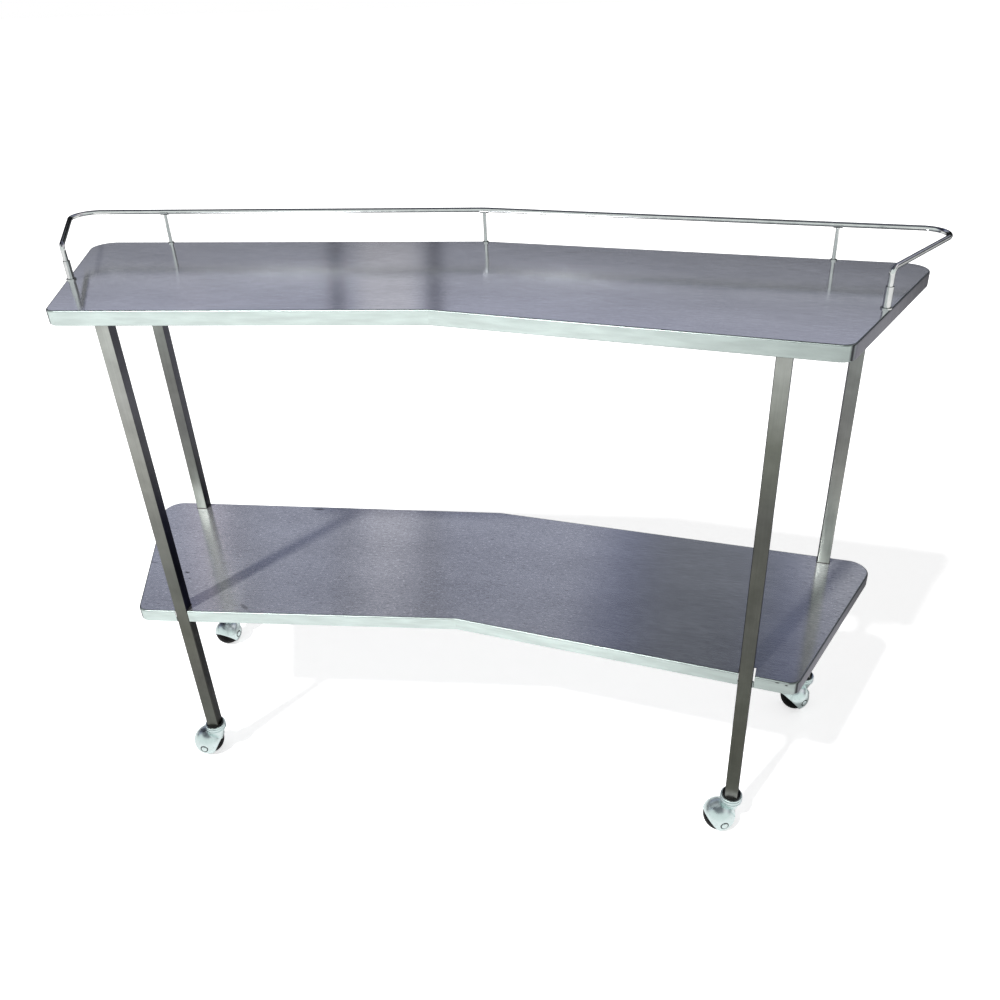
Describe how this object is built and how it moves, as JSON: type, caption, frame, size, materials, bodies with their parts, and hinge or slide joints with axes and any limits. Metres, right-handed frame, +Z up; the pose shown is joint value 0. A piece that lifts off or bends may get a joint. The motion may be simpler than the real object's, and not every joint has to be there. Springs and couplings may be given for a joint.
{
  "type": "kidney-shaped instrument table",
  "caption": "Wheeled instrument table with an angular kidney-shaped sheet top, matching shelf, square-tube legs, gallery rail and ball casters.",
  "frame": {"origin": "on the floor, under the middle of the overall footprint", "axes": "+X along the table's length to the right wing, +Y to the convex back edge with the gallery rail, +Z up"},
  "size_m": [1.4663, 0.4438, 0.974],
  "materials": {
    "brushed_sheet": "folded stainless sheet, brushed along each wing, semi-gloss",
    "channel_steel": "mill-finish folded channel, satin",
    "satin_tube": "square stainless tube, satin, grain along the tube",
    "polished_rod": "polished stainless rod and fittings",
    "plated_fixings": "bright zinc-plated hardware",
    "bright_plating": "bright nickel-chrome plated pressings",
    "black_nylon": "moulded black nylon, fine satin",
    "black_tread": "moulded black rubber, smooth satin"
  },
  "bodies": {
    "frame": {"top_left_wing": "brushed_sheet", "top_right_wing": "brushed_sheet", "shelf_left_wing": "brushed_sheet", "shelf_right_wing": "brushed_sheet", "top_mitre_channel": "channel_steel", "shelf_mitre_channel": "channel_steel", "leg_channel_left": "channel_steel", "leg_channel_right": "channel_steel", "leg_front_left": "satin_tube", "leg_front_right": "satin_tube", "leg_back_left": "satin_tube", "leg_back_right": "satin_tube", "gallery_rail": "polished_rod", "rail_post_left": "polished_rod", "rail_post_centre": "polished_rod", "rail_post_right": "polished_rod", "rail_sleeve_left": "polished_rod", "rail_sleeve_right": "polished_rod", "rail_washers": "plated_fixings", "rail_nuts": "plated_fixings", "leg_plug_front_left": "black_nylon", "leg_plug_front_right": "black_nylon", "leg_plug_back_left": "black_nylon", "leg_plug_back_right": "black_nylon", "caster_stem_front_left": "bright_plating", "caster_stem_front_right": "bright_plating", "caster_stem_back_left": "bright_plating", "caster_stem_back_right": "bright_plating", "swivel_balls_front_left": "plated_fixings", "swivel_balls_front_right": "plated_fixings", "swivel_balls_back_left": "plated_fixings", "swivel_balls_back_right": "plated_fixings"},
    "caster_front_left": {"caster_hood_front_left": "bright_plating", "caster_axle_front_left": "bright_plating"},
    "wheel_front_left": {"wheel_core_front_left": "black_nylon", "wheel_tyre_front_left": "black_tread"},
    "caster_front_right": {"caster_hood_front_right": "bright_plating", "caster_axle_front_right": "bright_plating"},
    "wheel_front_right": {"wheel_core_front_right": "black_nylon", "wheel_tyre_front_right": "black_tread"},
    "caster_back_left": {"caster_hood_back_left": "bright_plating", "caster_axle_back_left": "bright_plating"},
    "wheel_back_left": {"wheel_core_back_left": "black_nylon", "wheel_tyre_back_left": "black_tread"},
    "caster_back_right": {"caster_hood_back_right": "bright_plating", "caster_axle_back_right": "bright_plating"},
    "wheel_back_right": {"wheel_core_back_right": "black_nylon", "wheel_tyre_back_right": "black_tread"}
  },
  "joints": [
    {"name": "swivel_front_left", "type": "hinge", "parent": "frame", "child": "caster_front_left", "pos_m": [-0.49334, -0.18498, 0.066], "axis": [0, 0, 1], "continuous": true},
    {"name": "roll_front_left", "type": "hinge", "parent": "caster_front_left", "child": "wheel_front_left", "pos_m": [-0.51323, -0.18707, 0.0272], "axis": [0.1045, -0.9945, 0], "continuous": true},
    {"name": "swivel_front_right", "type": "hinge", "parent": "frame", "child": "caster_front_right", "pos_m": [0.49334, -0.18498, 0.066], "axis": [0, 0, 1], "continuous": true},
    {"name": "roll_front_right", "type": "hinge", "parent": "caster_front_right", "child": "wheel_front_right", "pos_m": [0.47493, -0.19279, 0.0272], "axis": [0.3907, -0.9205, 0], "continuous": true},
    {"name": "swivel_back_left", "type": "hinge", "parent": "frame", "child": "caster_back_left", "pos_m": [-0.63397, 0.14831, 0.066], "axis": [0, 0, 1], "continuous": true},
    {"name": "roll_back_left", "type": "hinge", "parent": "caster_back_left", "child": "wheel_back_left", "pos_m": [-0.63675, 0.1285, 0.0272], "axis": [0.9903, -0.1392, 0], "continuous": true},
    {"name": "swivel_back_right", "type": "hinge", "parent": "frame", "child": "caster_back_right", "pos_m": [0.63397, 0.14831, 0.066], "axis": [0, 0, 1], "continuous": true},
    {"name": "roll_back_right", "type": "hinge", "parent": "caster_back_right", "child": "wheel_back_right", "pos_m": [0.6191, 0.13492, 0.0272], "axis": [0.6691, -0.7431, 0], "continuous": true}
  ]
}
